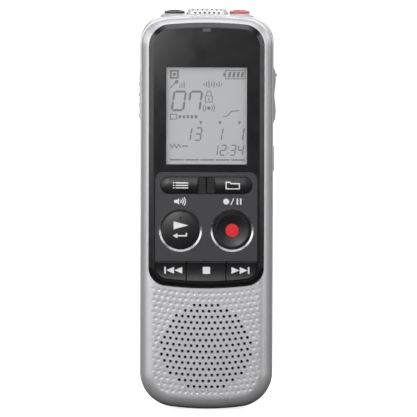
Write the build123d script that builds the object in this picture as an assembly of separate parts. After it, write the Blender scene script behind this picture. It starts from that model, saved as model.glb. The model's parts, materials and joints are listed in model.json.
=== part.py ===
from build123d import *
import os
from math import atan2, degrees, hypot, sqrt

# Handheld voice recorder, in millimetres, as it comes apart on a bench. X runs across the body,
# Y from the key face to the back, and Z up the body to the microphone end. The origin is under
# the middle of the bottom end, on which the recorder stands.

# ---- body and shells
BODY_W = 38.2
BODY_H = 113.8
LOW_CORNER_R = 10.2
HIGH_CORNER_R = 8.0
LOW_BOW_R = 75.0
HIGH_BOW_R = 100.0
FACE_Y = -9.65          # front face of the silver case
PART_Y = -4.0           # where the two cases meet
BACK_Y = 10.65
WALL = 1.5
BACK_WALL = 1.4
STEP = 0.4              # the front case stands this far inside the rear case
FACE_EDGE_R = 3.8
BACK_EDGE_R = 5.0
RIM_EDGE_R = 0.3
CASE_INNER_Y = -7.75    # inner face of the front case

# ---- clearances
PAST = 1.0              # how far a cut runs past the face it opens
SEAT_GAP = 0.02         # between pieces that are pressed or glued together
LOOSE_GAP = 0.05        # between pieces that only locate each other
FIT_GAP = 0.08          # around the panel in its recess
KEY_GAP = 0.12
PILL_GAP = 0.2
POCKET_GAP = 0.15       # around the glass, the door and the erase button
SLIDE_GAP = 0.2         # around the slide, the rocker and the speaker

# ---- display panel, window and keypad plate
PANEL_W = 33.0
PANEL_LOW_Z = 35.5
PANEL_HIGH_Z = 111.9
PANEL_LOW_CORNER_R = 5.2
PANEL_HIGH_CORNER_R = 6.2
PANEL_LOW_BOW_R = 95.0
PANEL_HIGH_BOW_R = 120.0
PANEL_SEAT_Y = -8.75
PANEL_RIM_Y = -9.3
PANEL_TOP_Y = -10.15
PANEL_BEVEL = 1.3
PANEL_EDGE_R = 0.35     # between the bevel and the flat front
VIEW_W = 23.1
VIEW_LOW_Z = 71.25
VIEW_HIGH_Z = 99.15
WINDOW_BACK_Y = -9.25
WINDOW_FLANGE = 0.7
WINDOW_FLANGE_T = 0.33
PLATE_TOP_Y = -10.3
PLATE_W = 29.3
PLATE_LOW_Z = 43.4
PLATE_HIGH_Z = 69.0
PLATE_CORNER_R = 2.3
PLATE_EDGE_R = 0.12
LED_Z = 109.9
LED_W = 2.3
LED_H = 1.0
LENS_PROUD = 0.05
CHIP_LED_W = 1.6
CHIP_LED_H = 0.8
CHIP_LED_T = 0.75

# ---- keys
CAP_BACK_Y = -8.65
FLANGE = 0.5            # how far a cap's flange reaches out, and how thick it is
STEM_END_Y = -6.45
STEM_R = 1.3
PILL_W = 26.0
PILL_H = 4.6
PILL_Z = 65.25
PILL_TOP_Y = -10.7
PILL_CROWN = 0.4        # the top is crowned by this much
PILL_SPLIT = 0.3
PILL_FLAT_W = 4.5       # lowered flat across the split
PILL_SLOPE = 0.4        # and the slope up from it
ROUND_KEY_X = 7.4
ROUND_KEY_Z = 52.28
PLAY_R = 5.4
RECORD_R = 5.0
WELL_R = 5.6
BEZEL_W = 0.55          # the bezels' sloping faces, around the wells
BEZEL_DROP = 0.24
BEZEL_LIP = 0.05
BEZEL_H = 0.75
CAP_TOP_Y = -10.65
DOME_RISE = 0.45
DOT_R = 0.4             # tactile dot near the top of the play key
DOT_UP = 3.7
DOT_TOP_Y = -10.7
DISH_DEPTH = 0.5
DISH_RIM = 0.4
RECORD_TOP_Y = -10.5
MARK_R = 1.9
MARK_PROUD = 0.12
MARK_SINK = 0.4         # the mark's socket ends this far in front of the cap's back
MARK_EDGE_R = 0.08
ROW_INSET = 1.95        # bottom row of keys, in from the panel's outline
ROW_W = 29.0
ROW_TOP_Y = -10.45
ROW_DISH = 0.4          # the row is hollowed by this much, from top to bottom
ROW_DISH_HALF_H = 3.4
ROW_SPLIT_X = 5.7
ROW_SPLIT = 0.2
ROW_GAP = 0.15          # between the bottom row and the keypad plate
ROW_FLANGE = 0.3
ROW_EDGE_R = 0.2
OPENING_INSET = 1.25    # the opening for the keys, in from the panel's outline
OPENING_TOP_Z = 68.3
MAT_W = 30.0
MAT_LOW_Z = 37.4
MAT_HIGH_Z = 68.2
MAT_CORNER_R = 1.5
MAT_TOP_Y = -5.2
MAT_BOSS_Y = -5.95
MAT_BOSS_R = 2.0
DOME_R = 2.2            # snap domes on the board
DOME_H = 0.25
DOME_ROOM = 0.1

# ---- circuit board and display
BOARD_FRONT_Y = -4.6
BOARD_BACK_Y = -3.8
BOARD_LOW_Z = 36.4
BOARD_INSET = 2.8
BOARD_NOTCH = 0.3       # around the screw bosses
CHIPS = [(-6.0, 52.0, 9.0), (6.5, 50.0, 7.0), (0.0, 66.0, 5.0)]    # x, z and size
CHIP_H = 0.9
GLASS_FRONT_Y = -9.1
GLASS_BACK_Y = -7.6
GLASS_W = 26.0
GLASS_LOW_Z = 70.25
GLASS_HIGH_Z = 100.45
HOLDER_LOW_Z = 72.2
HOLDER_LIP = 0.4        # the holder reaches this far past the glass
HOLDER_WALL = 1.0
HOLDER_FLOOR = 0.8
CONNECTOR_W = 22.0
CONNECTOR_LOW_Z = 70.5
CONNECTOR_HIGH_Z = 71.9

# ---- speaker and its grille
SPEAKER_Z = 18.65
SPEAKER_R = 14.0
SPEAKER_SEAT_Y = -8.35
MESH_T = 0.12
GASKET_T = 0.48
GASKET_RIM = 1.4
FRAME_Y = SPEAKER_SEAT_Y + MESH_T + GASKET_T
FRAME_DEPTH = 1.6
FRAME_RIM = 1.0
FRAME_BACK = 0.6
MAGNET_R = 7.0
MAGNET_DEPTH = 2.75
CONE_PROFILE = [(0, 0.9), (5.0, 1.3), (12.9, 0.1)]     # radius, and depth behind the frame's front
CONE_T = 0.25
HOLE_PITCH = 1.7
ROW_PITCH = 1.68
ROW_ZERO_Z = 18.8
ROW_BOW_R = 80.0
HOLE_R = 0.43
HOLE_FIELD_R = 13.02
DIMPLE_R = 0.6
DIMPLE_DEPTH = 0.08
DIMPLE_ROWS = 9
DIMPLE_HALF_W = 15.4
DIMPLE_EDGE = 3.3       # dimples keep this far from the outline

# ---- top end
JACK_X = 9.3
TOP_Y = 0.9             # jacks, microphone and side controls lie on this plane
JACK_R = 1.8
JACK_LOW_Z = 100.4
JACK_FLOOR = 1.2
JACK_BODY_TOP_Z = 111.2
JACK_BODY_W = 6.2
NOSE_R = 2.75
NOSE_GAP = 0.1
NOSE_TOP_Z = 113.9
BOSS_LOW_R = 4.3
BOSS_TOP_R = 3.2
BOSS_LOW_Z = 113.1
BOSS_TOP_Z = 113.85
RING_R = 2.9
RING_HOLE_R = 1.95
RING_TOP_Z = 114.5
RING_EDGE_R = 0.4
GRILLE_TOP_Z = 115.1
GRILLE_SEAT_Z = 113.2
GRILLE_BASE = (11.8, 6.6)
GRILLE_TOP = (10.5, 4.7)
GRILLE_CORNERS = (1.4, 1.0)
GRILLE_EDGE_R = 0.45
GRILLE_WALL = 0.45
GRILLE_HOLE_R = 0.3
GRILLE_PITCH = 1.35
GRILLE_HALF_COUNT = 3
GRILLE_ROW_PITCH = 1.2
GRILLE_SHOULDER = (2.2, 114.85)    # the holes drilled aslant: out from the middle, and up
GRILLE_SLANT = 45
GRILLE_SIDE_Z = 114.15
SOUND_PORT = (8.6, 4.0)
MIC_R = 3.0
MIC_SINK = 0.3
BOOT_R = 3.6
BOOT_LOW_Z = 108.6
BOOT_TOP_Z = 112.1
BOOT_FLOOR = 0.8

# ---- power and hold slide, on the left side
SIDE_X = BODY_W / 2
KNOB_Z = 90.25
KNOB_HALF_H = 6.75
KNOB_HALF_D = 2.2
KNOB_PROUD = 0.25
KNOB_BACK_X = -18.08
KNOB_FLOOR_X = -18.0
KNOB_EDGE_R = 0.2
KNOB_TRAVEL = 2.0
KNOB_END_GAP = 0.3
RIB_PROUD = 0.5
RIB_COUNT = 4
RIB_LOW_Z = 83.95
RIB_PITCH = 3.02
RIB_H = 0.7
RIB_INSET = 0.4
PAD_X = -16.6           # thickened wall behind the slide
PAD_HALF_D = 4.1
PAD_HALF_H = 10.0
FORK_X = -15.6
FORK_HALF_D = 0.7
FORK_HALF_H = 1.8
FORK_SLOT_X = -16.9
FORK_SLOT_HALF_H = 1.0
LEVER_X = (-16.8, -13.2)
LEVER_HALF_D = 0.6
LEVER_HALF_H = 0.9
SWITCH_X = (-15.2, -10.8)
SWITCH_BACK_Y = 2.6
SWITCH_HALF_H = 4.6

# ---- volume rocker and erase button, on the right side
ROCKER_Z = 90.2
ROCKER_HALF_H = 7.85
ROCKER_HALF_D = 2.0
ROCKER_PIVOT_X = 16.9
ROCKER_BACK_X = 17.1
ROCKER_HUMP = 0.7
ROCKER_HUMP_Z = 4.4
ROCKER_DIP = 0.3
ROCKER_END = 0.1
ROCKER_END_GAP = 0.3
ROCKER_OPENING_X = 16.0
PIP_R = 0.55            # tactile pip on the plus end
PIP_Z = 96.1
PIP_SINK = 0.15
WEB_HALF_D = 1.8
WEB_HALF_H = 1.5
FOOT_HALF = 1.0
PIN_R = 0.6
PIN_HALF_L = 3.1
LUG_X = 16.1
LUG_GAP = 2.4
LUG_T = 1.0
LUG_HALF_H = 1.6
ERASE_Z = 71.95
ERASE_H = 7.3
ERASE_HALF_D = 1.9
ERASE_PROUD = 0.25
ERASE_BACK_X = 16.9
ERASE_EDGE_R = 0.2
ERASE_FLANGE_T = 0.8
ERASE_FLANGE = 0.7
PUSH_SPOTS = (ROCKER_Z - 5.4, ROCKER_Z + 5.4, ERASE_Z)
PUSH_GAP = 0.45         # from the rocker's feet to the switch tips
PUSH_X = (11.6, 14.8)
PUSH_TIP_X = 15.5
PUSH_TIP_R = 0.8
PUSH_BACK_Y = 3.0
PUSH_HALF_H = 2.2

# ---- battery bay
BAY_HALF_W = 11.3
BAY_LOW_Z = 11.8
BAY_HIGH_Z = 61.2
BAY_FLOOR_Y = -1.4
BAY_WALL = 1.0
LEDGE_HALF_W = 15.4     # shelf under the door's edges
LEDGE_Y = 7.9
LEDGE_LOW_Z = 4.6
LEDGE_HIGH_Z = 68.0
CHIN_Y = 5.9            # thicker block that carries the hinge
CELL_R = 5.15
CELL_X = 5.45
CELL_Y = 3.85
CELL_LENGTH = 44.5
CELL_EDGE_R = 0.4
CELL_GAP = 0.03
NUB_R = 1.9
NUB_H = 0.9
CONTACT_T = 0.4
CONTACT_HALF_D = 4.6
CONTACT_INNER_X = 1.6
CONTACT_OUTER_X = 9.6
WIRE_R = 0.3
COIL_R = 3.4
COIL_TURNS = 4
COIL_TAPER = 14
COIL_ROOM = 0.1

# ---- battery door
DOOR_HALF_W = 12.6
DOOR_TOP_Z = 63.5
DOOR_INNER_Y = 9.35
DOOR_CORNER_R = 1.2
HINGE_Y = 8.65
HINGE_Z = 8.0
BARREL_R = BACK_Y - HINGE_Y
HINGE_PIN_R = 0.7
HINGE_PIN_X = (11.5, 14.4)
GRIP_COUNT = 5
GRIP_PITCH = 1.3
GRIP_LOW_Z = 52.4
GRIP_HALF_W = 5.0
GRIP_R = 0.5
GRIP_UP = 0.2           # the groove's axis lies this far outside the door
SCOOP_R = 12.0          # finger scoop above the door
SCOOP_DEPTH = 1.1
SCOOP_UP = 1.2

# ---- screws
SCREW_SPOTS = [(14.9, 103.6), (15.1, 33.4)]
HEAD_R = 1.75
HEAD_H = 1.2
HEAD_GAP = 0.25
RECESS_DEPTH = 0.7
RECESS_HALF_L = 1.1
RECESS_HALF_W = 0.2
SHANK_R = 0.8
SHANK_GAP = 0.2
THREAD_GAP = 0.03
HEAD_SEAT_Y = 8.0
HOLE_END_Y = -6.8
SHANK_TIP_Y = -6.6
FRONT_BOSS_R = 1.9
REAR_BOSS_R = 2.1
BOSS_MEET_Y = -2.95


# ---- shapes used by many pieces
def around(middle, half):
    """The two places that lie half on either side of middle."""
    return middle - half, middle + half


def slab(sketch, front, back):
    """A sketch drawn on X and Z, made solid from y = front to y = back."""
    return extrude(Plane.XZ.offset(-front) * sketch, amount=back - front, dir=(0, 1, 0))


def block(x, y, z):
    """A box from three (low, high) pairs."""
    size = [high - low for low, high in (x, y, z)]
    middle = [(high + low) / 2 for low, high in (x, y, z)]
    return Pos(*middle) * Box(*size)


def rod_x(y, z, x, radius):
    """A round bar along X between the two ends in x."""
    return Pos(sum(x) / 2, y, z) * Rot(0, 90, 0) * Cylinder(radius, x[1] - x[0])


def rod_y(x, z, y, radius):
    return Pos(x, sum(y) / 2, z) * Rot(90, 0, 0) * Cylinder(radius, y[1] - y[0])


def rod_z(x, y, z, radius):
    return Pos(x, y, sum(z) / 2) * Cylinder(radius, z[1] - z[0])


def both(solid):
    """A solid and its mirror image across the middle plane."""
    return solid + mirror(solid, Plane.YZ)


def mirrored(x, z):
    return (x, z), (-x, z)


def cap_radius(chord, rise):
    """The radius of the ball whose cap has this half width and rise."""
    return (chord**2 + rise**2) / (2 * rise)


def arched_outline(width, low, high, corners, bows, inset=0.0):
    """Straight sides, bowed ends and round corners, all drawn in by inset."""
    half = width / 2 - inset
    low += inset
    high -= inset
    low_r, high_r = (r - inset for r in corners)
    low_bow, high_bow = (r - inset for r in bows)
    low_x, high_x = half - low_r, half - high_r
    low_bow_z, high_bow_z = low + low_bow, high - high_bow
    low_z = low_bow_z - sqrt((low_bow - low_r) ** 2 - low_x**2)
    high_z = high_bow_z + sqrt((high_bow - high_r) ** 2 - high_x**2)
    up = degrees(atan2(high_z - high_bow_z, high_x))
    down = degrees(atan2(low_bow_z - low_z, low_x))
    return make_face(
        [
            Line((half, low_z), (half, high_z)),
            CenterArc((high_x, high_z), high_r, 0, up),
            CenterArc((0, high_bow_z), high_bow, up, 180 - 2 * up),
            CenterArc((-high_x, high_z), high_r, 180 - up, up),
            Line((-half, high_z), (-half, low_z)),
            CenterArc((-low_x, low_z), low_r, 180, down),
            CenterArc((0, low_bow_z), low_bow, 180 + down, 180 - 2 * down),
            CenterArc((low_x, low_z), low_r, 360 - down, down),
        ]
    )


def body_outline(inset=0.0):
    corners = (LOW_CORNER_R, HIGH_CORNER_R)
    return arched_outline(BODY_W, 0, BODY_H, corners, (LOW_BOW_R, HIGH_BOW_R), inset)


def panel_outline(inset=0.0):
    corners = (PANEL_LOW_CORNER_R, PANEL_HIGH_CORNER_R)
    bows = (PANEL_LOW_BOW_R, PANEL_HIGH_BOW_R)
    return arched_outline(PANEL_W, PANEL_LOW_Z, PANEL_HIGH_Z, corners, bows, inset)


def rect(width, low, high, radius=0.0):
    """A rectangle centred on x = 0, from low to high in Z."""
    shape = RectangleRounded(width, high - low, radius) if radius else Rectangle(width, high - low)
    return Pos(0, (low + high) / 2) * shape


def strip(low, high):
    """The whole width of the body between two heights."""
    return rect(BODY_W, low, high)


def view_outline(outset=0.0):
    return rect(VIEW_W + 2 * outset, VIEW_LOW_Z - outset, VIEW_HIGH_Z + outset)


def glass_outline(outset=0.0):
    return rect(GLASS_W + 2 * outset, GLASS_LOW_Z - outset, GLASS_HIGH_Z + outset)


def lens_outline(outset=0.0):
    return rect(LED_W + 2 * outset, LED_Z - LED_H / 2 - outset, LED_Z + LED_H / 2 + outset)


def obround(length, width, thickness):
    """A slot-shaped block: length on X, width on Y, centred."""
    return extrude(SlotOverall(length, width), amount=thickness / 2, both=True)


def outer_edges(solid, axis, end=-1):
    """The edges of the outermost face along an axis."""
    return solid.faces().sort_by(axis)[end].edges()


def screw_spots():
    return [spot for x, z in SCREW_SPOTS for spot in mirrored(x, z)]


# ---- perforated and dimpled front
def lattice():
    """Every point of the staggered, bowed pattern on the lower front, as (x, z)."""
    points = []
    for row in range(-DIMPLE_ROWS, DIMPLE_ROWS + 1):
        shift = 0.0 if row % 2 else HOLE_PITCH / 2
        count = int((DIMPLE_HALF_W - shift) / HOLE_PITCH)
        for step in range(-count - (shift > 0), count + 1):
            x = shift + step * HOLE_PITCH
            points.append((x, ROW_ZERO_Z + row * ROW_PITCH + x**2 / (2 * ROW_BOW_R)))
    return points


def is_hole(x, z):
    return hypot(x, z - SPEAKER_Z) <= HOLE_FIELD_R


def on_flat(x, z):
    """Whether a dimple at (x, z) keeps clear of the rounded edge."""
    corner_x = BODY_W / 2 - LOW_CORNER_R
    if abs(x) > corner_x and z < LOW_CORNER_R:
        return hypot(abs(x) - corner_x, z - LOW_CORNER_R) <= LOW_CORNER_R - DIMPLE_EDGE
    return z >= x**2 / (2 * LOW_BOW_R) + DIMPLE_EDGE


def dimple(x, z):
    """A shallow round dent in the face."""
    ball_r = cap_radius(DIMPLE_R, DIMPLE_DEPTH)
    return Pos(x, FACE_Y - ball_r + DIMPLE_DEPTH, z) * Sphere(ball_r)


# ---- cases
def front_case():
    outer = slab(body_outline(STEP), FACE_Y, PART_Y)
    outer = fillet(outer_edges(outer, Axis.Y, 0), FACE_EDGE_R)
    case = outer - slab(body_outline(STEP + WALL), CASE_INNER_Y, PART_Y)
    case += [rod_y(x, z, (CASE_INNER_Y, BOSS_MEET_Y), FRONT_BOSS_R) for x, z in screw_spots()]
    case -= [rod_y(x, z, (HOLE_END_Y, BOSS_MEET_Y), SHANK_R + THREAD_GAP) for x, z in screw_spots()]
    case -= slab(panel_outline(-FIT_GAP), FACE_Y - PAST, PANEL_SEAT_Y)
    case -= slab(glass_outline(POCKET_GAP), PANEL_SEAT_Y, CASE_INNER_Y)
    case -= slab(panel_outline(OPENING_INSET) & strip(0, OPENING_TOP_Z), PANEL_SEAT_Y, CASE_INNER_Y)
    case -= slab(lens_outline(LOOSE_GAP), PANEL_SEAT_Y, CASE_INNER_Y)
    case -= rod_y(0, SPEAKER_Z, (SPEAKER_SEAT_Y, CASE_INNER_Y), SPEAKER_R + SLIDE_GAP)
    holes = [(x, z) for x, z in lattice() if is_hole(x, z)]
    dents = [(x, z) for x, z in lattice() if not is_hole(x, z) and on_flat(x, z)]
    case -= [rod_y(x, z, (FACE_Y - PAST, CASE_INNER_Y), HOLE_R) for x, z in holes]
    return case - [dimple(x, z) for x, z in dents]


def rear_shell():
    """The rear case's outer form and the cavity in it."""
    outer = slab(body_outline(), PART_Y, BACK_Y)
    outer = fillet(outer_edges(outer, Axis.Y), BACK_EDGE_R)
    outer = fillet(outer_edges(outer, Axis.Y, 0), RIM_EDGE_R)
    cavity = slab(body_outline(WALL), PART_Y, BACK_Y - BACK_WALL)
    cavity = fillet(outer_edges(cavity, Axis.Y), BACK_EDGE_R - BACK_WALL)
    return outer, cavity


def rear_ribs():
    """Everything that stands on the inside of the rear case."""
    bay_x = around(0, BAY_HALF_W + BAY_WALL)
    bay_z = (BAY_LOW_Z - BAY_WALL, BAY_HIGH_Z + BAY_WALL)
    bay = block(bay_x, (BAY_FLOOR_Y - BAY_WALL, BACK_Y), bay_z)
    ledge = block(around(0, LEDGE_HALF_W), (LEDGE_Y, BACK_Y), (LEDGE_LOW_Z, LEDGE_HIGH_Z))
    chin = block(around(0, LEDGE_HALF_W), (CHIN_Y, BACK_Y), (LEDGE_LOW_Z, BAY_LOW_Z))
    pad = block((-SIDE_X, PAD_X), around(TOP_Y, PAD_HALF_D), around(KNOB_Z, PAD_HALF_H))
    lug_z = around(ROCKER_Z, LUG_HALF_H)
    lugs = block((LUG_X, SIDE_X), around(TOP_Y, LUG_GAP + LUG_T), lug_z)
    lugs -= block((LUG_X, SIDE_X), around(TOP_Y, LUG_GAP), lug_z)
    bosses = [rod_y(x, z, (BOSS_MEET_Y + LOOSE_GAP, BACK_Y), REAR_BOSS_R) for x, z in screw_spots()]
    return [bay, ledge, chin, pad, *lugs.solids(), *bosses]


def bay_openings():
    """The battery bay, the door's rebate and hinge, and the finger scoop."""
    half = DOOR_HALF_W + POCKET_GAP
    bay = block(around(0, BAY_HALF_W), (BAY_FLOOR_Y, BACK_Y + PAST), (BAY_LOW_Z, BAY_HIGH_Z))
    rebate_y = (DOOR_INNER_Y - POCKET_GAP, BACK_Y + PAST)
    room = BARREL_R + POCKET_GAP
    rebate = block(around(0, half), rebate_y, (HINGE_Z - room, DOOR_TOP_Z + POCKET_GAP))
    barrel = rod_x(HINGE_Y, HINGE_Z, around(0, half), room)
    pins = rod_x(HINGE_Y, HINGE_Z, around(0, HINGE_PIN_X[1] + LOOSE_GAP), HINGE_PIN_R + SEAT_GAP)
    scoop = Pos(0, BACK_Y + SCOOP_R - SCOOP_DEPTH, DOOR_TOP_Z + SCOOP_UP) * Sphere(SCOOP_R)
    return [bay, rebate, barrel, pins, scoop]


def side_openings():
    """The bed and slot of the slide, and the openings of the rocker and the erase button."""
    bed_y = around(TOP_Y, KNOB_HALF_D + SLIDE_GAP)
    bed_z = around(KNOB_Z, KNOB_HALF_H + KNOB_TRAVEL + KNOB_END_GAP)
    bed = block((-SIDE_X - PAST, KNOB_FLOOR_X), bed_y, bed_z)
    slot_z = around(KNOB_Z, FORK_HALF_H + KNOB_TRAVEL + SLIDE_GAP)
    slot = block((KNOB_FLOOR_X - PAST, PAD_X + PAST), around(TOP_Y, FORK_HALF_D + SLIDE_GAP), slot_z)
    rocker_y = around(TOP_Y, ROCKER_HALF_D + SLIDE_GAP)
    rocker_z = around(ROCKER_Z, ROCKER_HALF_H + ROCKER_END_GAP)
    rocker = block((ROCKER_OPENING_X, SIDE_X + PAST), rocker_y, rocker_z)
    pin = rod_y(ROCKER_PIVOT_X, ROCKER_Z, around(TOP_Y, PIN_HALF_L + LOOSE_GAP), PIN_R + SEAT_GAP)
    length = ERASE_H + 2 * POCKET_GAP
    width = 2 * (ERASE_HALF_D + POCKET_GAP)
    erase = Pos(SIDE_X, TOP_Y, ERASE_Z) * Rot(0, 90, 0) * obround(length, width, 2 * WALL + PAST)
    return [bed, slot, rocker, pin, erase]


def screw_openings():
    heads = [rod_y(x, z, (HEAD_SEAT_Y, BACK_Y + PAST), HEAD_R + HEAD_GAP) for x, z in screw_spots()]
    shanks = [rod_y(x, z, (PART_Y, HEAD_SEAT_Y), SHANK_R + SHANK_GAP) for x, z in screw_spots()]
    return [*heads, *shanks]


def top_openings():
    """The holes of the two jacks, the grille's seat and the port under it."""
    noses = both(rod_z(JACK_X, TOP_Y, (JACK_BODY_TOP_Z, BODY_H + PAST), NOSE_R + NOSE_GAP))
    half_x, half_y = (size / 2 + LOOSE_GAP for size in GRILLE_BASE)
    seat = block(around(0, half_x), around(TOP_Y, half_y), (GRILLE_SEAT_Z, GRILLE_TOP_Z))
    half_x, half_y = (size / 2 for size in SOUND_PORT)
    port = block(around(0, half_x), around(TOP_Y, half_y), (JACK_BODY_TOP_Z, GRILLE_TOP_Z))
    return [*noses.solids(), seat, port]


def rear_case():
    outer, cavity = rear_shell()
    case = outer - cavity
    case += [rib & cavity for rib in rear_ribs()]
    case -= [*bay_openings(), *side_openings(), *screw_openings()]
    boss_h = BOSS_TOP_Z - BOSS_LOW_Z
    case += both(Pos(JACK_X, TOP_Y, BOSS_LOW_Z + boss_h / 2) * Cone(BOSS_LOW_R, BOSS_TOP_R, boss_h))
    return case - top_openings()


# ---- front panel pieces
def display_panel():
    rim = Plane.XZ.offset(-PANEL_RIM_Y) * panel_outline()
    top = Plane.XZ.offset(-PANEL_TOP_Y) * panel_outline(PANEL_BEVEL)
    raised = loft([rim, top], ruled=True)
    raised = fillet(outer_edges(raised, Axis.Y, 0), PANEL_EDGE_R)
    panel = slab(panel_outline(), PANEL_RIM_Y, PANEL_SEAT_Y) + raised
    panel -= slab(strip(PLATE_LOW_Z - ROW_GAP, PLATE_LOW_Z), PANEL_TOP_Y, PANEL_RIM_Y)
    panel -= slab(view_outline(), PANEL_TOP_Y, PANEL_SEAT_Y)
    flange_y = WINDOW_BACK_Y - WINDOW_FLANGE_T - SEAT_GAP
    panel -= slab(view_outline(WINDOW_FLANGE), flange_y, PANEL_SEAT_Y)
    panel -= slab(glass_outline(POCKET_GAP), WINDOW_BACK_Y, PANEL_SEAT_Y)
    panel -= slab(plate_outline(-SEAT_GAP) + row_outline(-KEY_GAP), CAP_TOP_Y, PANEL_SEAT_Y)
    return panel - slab(lens_outline(), PANEL_TOP_Y, PANEL_SEAT_Y)


def display_window():
    window = slab(view_outline(-SEAT_GAP), PANEL_TOP_Y, WINDOW_BACK_Y)
    flange = view_outline(WINDOW_FLANGE - LOOSE_GAP)
    return window + slab(flange, WINDOW_BACK_Y - WINDOW_FLANGE_T, WINDOW_BACK_Y)


def plate_outline(inset=0.0):
    """The keypad plate: round upper corners, square where it meets the bottom row."""
    tall = rect(PLATE_W - 2 * inset, PANEL_LOW_Z, PLATE_HIGH_Z - inset, PLATE_CORNER_R)
    return tall & strip(PLATE_LOW_Z + inset, BODY_H)


def row_outline(inset=0.0):
    """The bottom row of keys: it follows the panel's lower edge."""
    high = PLATE_LOW_Z - ROW_GAP - inset
    return panel_outline(ROW_INSET + inset) & rect(ROW_W - 2 * inset, 0, high)


def pill_outline(inset=0.0):
    return Pos(0, PILL_Z) * SlotOverall(PILL_W - 2 * inset, PILL_H - 2 * inset)


def keypad_plate():
    plate = slab(plate_outline(), PLATE_TOP_Y, PANEL_SEAT_Y)
    sides_and_top = outer_edges(plate, Axis.Y, 0).sort_by(Axis.Z)[1:]
    plate = fillet(sides_and_top, PLATE_EDGE_R)
    plate -= slab(pill_outline(-PILL_GAP), PLATE_TOP_Y, PANEL_SEAT_Y)
    for x, z in mirrored(ROUND_KEY_X, ROUND_KEY_Z):
        plate -= rod_y(x, z, (PLATE_TOP_Y, PANEL_SEAT_Y), WELL_R)
        plate -= rod_y(x, z, (PLATE_TOP_Y, PLATE_TOP_Y + BEZEL_H), bezel_radius() + SEAT_GAP)
    return plate


def bezel_radius():
    return WELL_R + BEZEL_W + BEZEL_LIP


def key_bezels():
    """The two bright rings around the round keys' wells, sloping inwards."""
    rings = []
    for x, z in mirrored(ROUND_KEY_X, ROUND_KEY_Z):
        ring = rod_y(x, z, (PLATE_TOP_Y, PLATE_TOP_Y + BEZEL_H - SEAT_GAP), bezel_radius())
        ring -= rod_y(x, z, (PLATE_TOP_Y, PLATE_TOP_Y + BEZEL_H), WELL_R)
        slope = Pos(x, PLATE_TOP_Y + BEZEL_DROP / 2, z) * Rot(90, 0, 0)
        rings.append(ring - slope * Cone(WELL_R, WELL_R + BEZEL_W, BEZEL_DROP))
    return Compound(children=rings)


# ---- keys
def stem(x, z):
    return rod_y(x, z, (CAP_BACK_Y, STEM_END_Y), STEM_R)


def pill_crown(side):
    """A round bar with a ball at its outer end, which crowns the top of one half of the pill."""
    radius = cap_radius(PILL_H / 2, PILL_CROWN)
    end_x = side * (PILL_W - PILL_H) / 2
    middle_y = PILL_TOP_Y + radius
    bar = rod_x(middle_y, PILL_Z, (min(0, end_x), max(0, end_x)), radius)
    return bar + Pos(end_x, middle_y, PILL_Z) * Sphere(radius)


def half_pill(side):
    """One key of the split pill; side is -1 for the left key and 1 for the right."""
    span = Pos(side * (PILL_W / 4 + PILL_SPLIT / 2), PILL_Z) * Rectangle(PILL_W / 2, 2 * PILL_H)
    cap = slab(pill_outline() & span, PILL_TOP_Y, CAP_BACK_Y) & pill_crown(side)
    flat = PILL_FLAT_W / 2
    slope = flat + PILL_SLOPE
    corners = [(-slope, PILL_TOP_Y), (slope, PILL_TOP_Y), (flat, PLATE_TOP_Y), (-flat, PLATE_TOP_Y)]
    lowered = Plane.XY.offset(PILL_Z - PILL_H) * make_face(Polyline(*corners, close=True))
    cap -= extrude(lowered, amount=2 * PILL_H)
    cap += slab(pill_outline(-FLANGE) & span, CAP_BACK_Y, CAP_BACK_Y + FLANGE)
    return cap + stem(side * PILL_W / 4, PILL_Z)


def flanged_round(x, radius, top):
    cap = rod_y(x, ROUND_KEY_Z, (top, CAP_BACK_Y), radius)
    cap += rod_y(x, ROUND_KEY_Z, (CAP_BACK_Y, CAP_BACK_Y + FLANGE), WELL_R + FLANGE)
    return cap + stem(x, ROUND_KEY_Z)


def play_key():
    ball_r = cap_radius(PLAY_R, DOME_RISE)
    key = flanged_round(-ROUND_KEY_X, PLAY_R, CAP_TOP_Y)
    key &= Pos(-ROUND_KEY_X, CAP_TOP_Y + ball_r, ROUND_KEY_Z) * Sphere(ball_r)
    return key + Pos(-ROUND_KEY_X, DOT_TOP_Y + DOT_R, ROUND_KEY_Z + DOT_UP) * Sphere(DOT_R)


def record_key():
    ball_r = cap_radius(RECORD_R - DISH_RIM, DISH_DEPTH)
    key = flanged_round(ROUND_KEY_X, RECORD_R, RECORD_TOP_Y)
    key -= Pos(ROUND_KEY_X, RECORD_TOP_Y + DISH_DEPTH - ball_r, ROUND_KEY_Z) * Sphere(ball_r)
    return key - rod_y(ROUND_KEY_X, ROUND_KEY_Z, (RECORD_TOP_Y, CAP_BACK_Y - MARK_SINK), MARK_R + SEAT_GAP)


def record_mark():
    top = RECORD_TOP_Y + DISH_DEPTH - MARK_PROUD
    mark = rod_y(ROUND_KEY_X, ROUND_KEY_Z, (top, CAP_BACK_Y - MARK_SINK), MARK_R)
    return fillet(outer_edges(mark, Axis.Y, 0), MARK_EDGE_R)


def row_key(low_x, high_x):
    """One key of the bottom row, between two places on X."""
    middle = (low_x + high_x) / 2
    span = Pos(middle, PLATE_LOW_Z) * Rectangle(high_x - low_x, PANEL_W)
    cap = slab(row_outline() & span, ROW_TOP_Y, CAP_BACK_Y)
    dish_r = cap_radius(ROW_DISH_HALF_H, ROW_DISH)
    dish_y = ROW_TOP_Y + ROW_DISH - dish_r
    cap -= rod_x(dish_y, row_stem_z(), (low_x - PAST, high_x + PAST), dish_r)
    cap = fillet(outer_edges(cap, Axis.Y, 0), ROW_EDGE_R)
    flange = panel_outline(ROW_INSET - ROW_FLANGE) & span & strip(0, PLATE_LOW_Z + ROW_FLANGE)
    cap += slab(flange, CAP_BACK_Y, CAP_BACK_Y + FLANGE)
    return cap + stem(middle, row_stem_z())


def row_stem_z():
    return (PANEL_LOW_Z + ROW_INSET + PLATE_LOW_Z) / 2


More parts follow.
